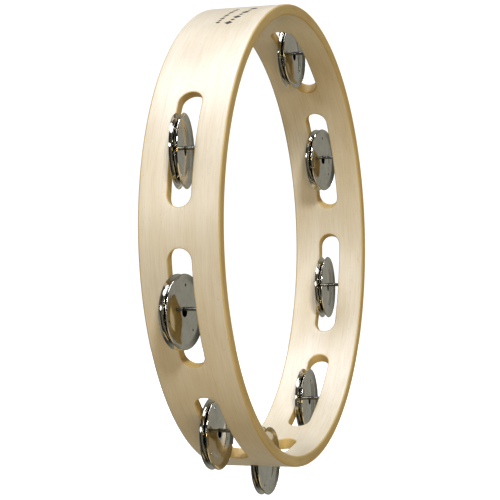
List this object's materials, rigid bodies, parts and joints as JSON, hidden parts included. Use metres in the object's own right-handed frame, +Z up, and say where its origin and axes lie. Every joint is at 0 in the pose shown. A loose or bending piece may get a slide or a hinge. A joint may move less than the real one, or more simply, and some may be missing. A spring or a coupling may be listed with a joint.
{
  "type": "tambourine",
  "caption": "Round headless tambourine: a bent wooden hoop with long slots, each holding a pair of loose steel jingles on a pin, and a plain arc left as the hand grip.",
  "frame": {"origin": "centre of the hoop, on its axis, halfway between the two rims", "axes": "the hoop stands upright: +Y along its axis towards the rear rim, -Y towards the front rim, +Z up, +X to the right seen from the front"},
  "size_m": [0.277, 0.0434, 0.2713],
  "materials": {
    "wood": "satin lacquer over pale maple",
    "pin_steel": "plain drawn wire",
    "jingle_steel": "bright nickel plate"
  },
  "bodies": {
    "hoop": {"hoop": "wood", "pin_1": "pin_steel", "pin_2": "pin_steel", "pin_3": "pin_steel", "pin_4": "pin_steel", "pin_5": "pin_steel", "pin_6": "pin_steel", "pin_7": "pin_steel", "pin_8": "pin_steel"},
    "jingle_1_front": {"jingle_1_front": "jingle_steel"},
    "jingle_1_back": {"jingle_1_back": "jingle_steel"},
    "jingle_2_front": {"jingle_2_front": "jingle_steel"},
    "jingle_2_back": {"jingle_2_back": "jingle_steel"},
    "jingle_3_front": {"jingle_3_front": "jingle_steel"},
    "jingle_3_back": {"jingle_3_back": "jingle_steel"},
    "jingle_4_front": {"jingle_4_front": "jingle_steel"},
    "jingle_4_back": {"jingle_4_back": "jingle_steel"},
    "jingle_5_front": {"jingle_5_front": "jingle_steel"},
    "jingle_5_back": {"jingle_5_back": "jingle_steel"},
    "jingle_6_front": {"jingle_6_front": "jingle_steel"},
    "jingle_6_back": {"jingle_6_back": "jingle_steel"},
    "jingle_7_front": {"jingle_7_front": "jingle_steel"},
    "jingle_7_back": {"jingle_7_back": "jingle_steel"},
    "jingle_8_front": {"jingle_8_front": "jingle_steel"},
    "jingle_8_back": {"jingle_8_back": "jingle_steel"}
  },
  "joints": [
    {"name": "jingle_1_front_slide", "type": "slide", "parent": "hoop", "child": "jingle_1_front", "axis": [0, 1, 0], "range_m": [-0.004, 0.0002]},
    {"name": "jingle_1_back_slide", "type": "slide", "parent": "hoop", "child": "jingle_1_back", "axis": [0, 1, 0], "range_m": [-0.0002, 0.00025]},
    {"name": "jingle_2_front_slide", "type": "slide", "parent": "hoop", "child": "jingle_2_front", "axis": [0, 1, 0], "range_m": [-0.005, 0.0002]},
    {"name": "jingle_2_back_slide", "type": "slide", "parent": "hoop", "child": "jingle_2_back", "axis": [0, 1, 0], "range_m": [-0.0002, 0.0002]},
    {"name": "jingle_3_front_slide", "type": "slide", "parent": "hoop", "child": "jingle_3_front", "axis": [0, 1, 0], "range_m": [-0.0064, 0.0002]},
    {"name": "jingle_3_back_slide", "type": "slide", "parent": "hoop", "child": "jingle_3_back", "axis": [0, 1, 0], "range_m": [-0.0002, 0.00035]},
    {"name": "jingle_4_front_slide", "type": "slide", "parent": "hoop", "child": "jingle_4_front", "axis": [0, 1, 0], "range_m": [-0.0068, 0.0002]},
    {"name": "jingle_4_back_slide", "type": "slide", "parent": "hoop", "child": "jingle_4_back", "axis": [0, 1, 0], "range_m": [-0.0002, 0.0005]},
    {"name": "jingle_5_front_slide", "type": "slide", "parent": "hoop", "child": "jingle_5_front", "axis": [0, 1, 0], "range_m": [-0.0054, 0.0002]},
    {"name": "jingle_5_back_slide", "type": "slide", "parent": "hoop", "child": "jingle_5_back", "axis": [0, 1, 0], "range_m": [-0.0002, 0.00015]},
    {"name": "jingle_6_front_slide", "type": "slide", "parent": "hoop", "child": "jingle_6_front", "axis": [0, 1, 0], "range_m": [-0.0059, 0.0002]},
    {"name": "jingle_6_back_slide", "type": "slide", "parent": "hoop", "child": "jingle_6_back", "axis": [0, 1, 0], "range_m": [-0.0002, 0.0002]},
    {"name": "jingle_7_front_slide", "type": "slide", "parent": "hoop", "child": "jingle_7_front", "axis": [0, 1, 0], "range_m": [-0.0053, 0.0002]},
    {"name": "jingle_7_back_slide", "type": "slide", "parent": "hoop", "child": "jingle_7_back", "axis": [0, 1, 0], "range_m": [-0.0002, 0.0002]},
    {"name": "jingle_8_front_slide", "type": "slide", "parent": "hoop", "child": "jingle_8_front", "axis": [0, 1, 0], "range_m": [-0.0058, 0.0002]},
    {"name": "jingle_8_back_slide", "type": "slide", "parent": "hoop", "child": "jingle_8_back", "axis": [0, 1, 0], "range_m": [-0.0002, 0.0009]}
  ]
}
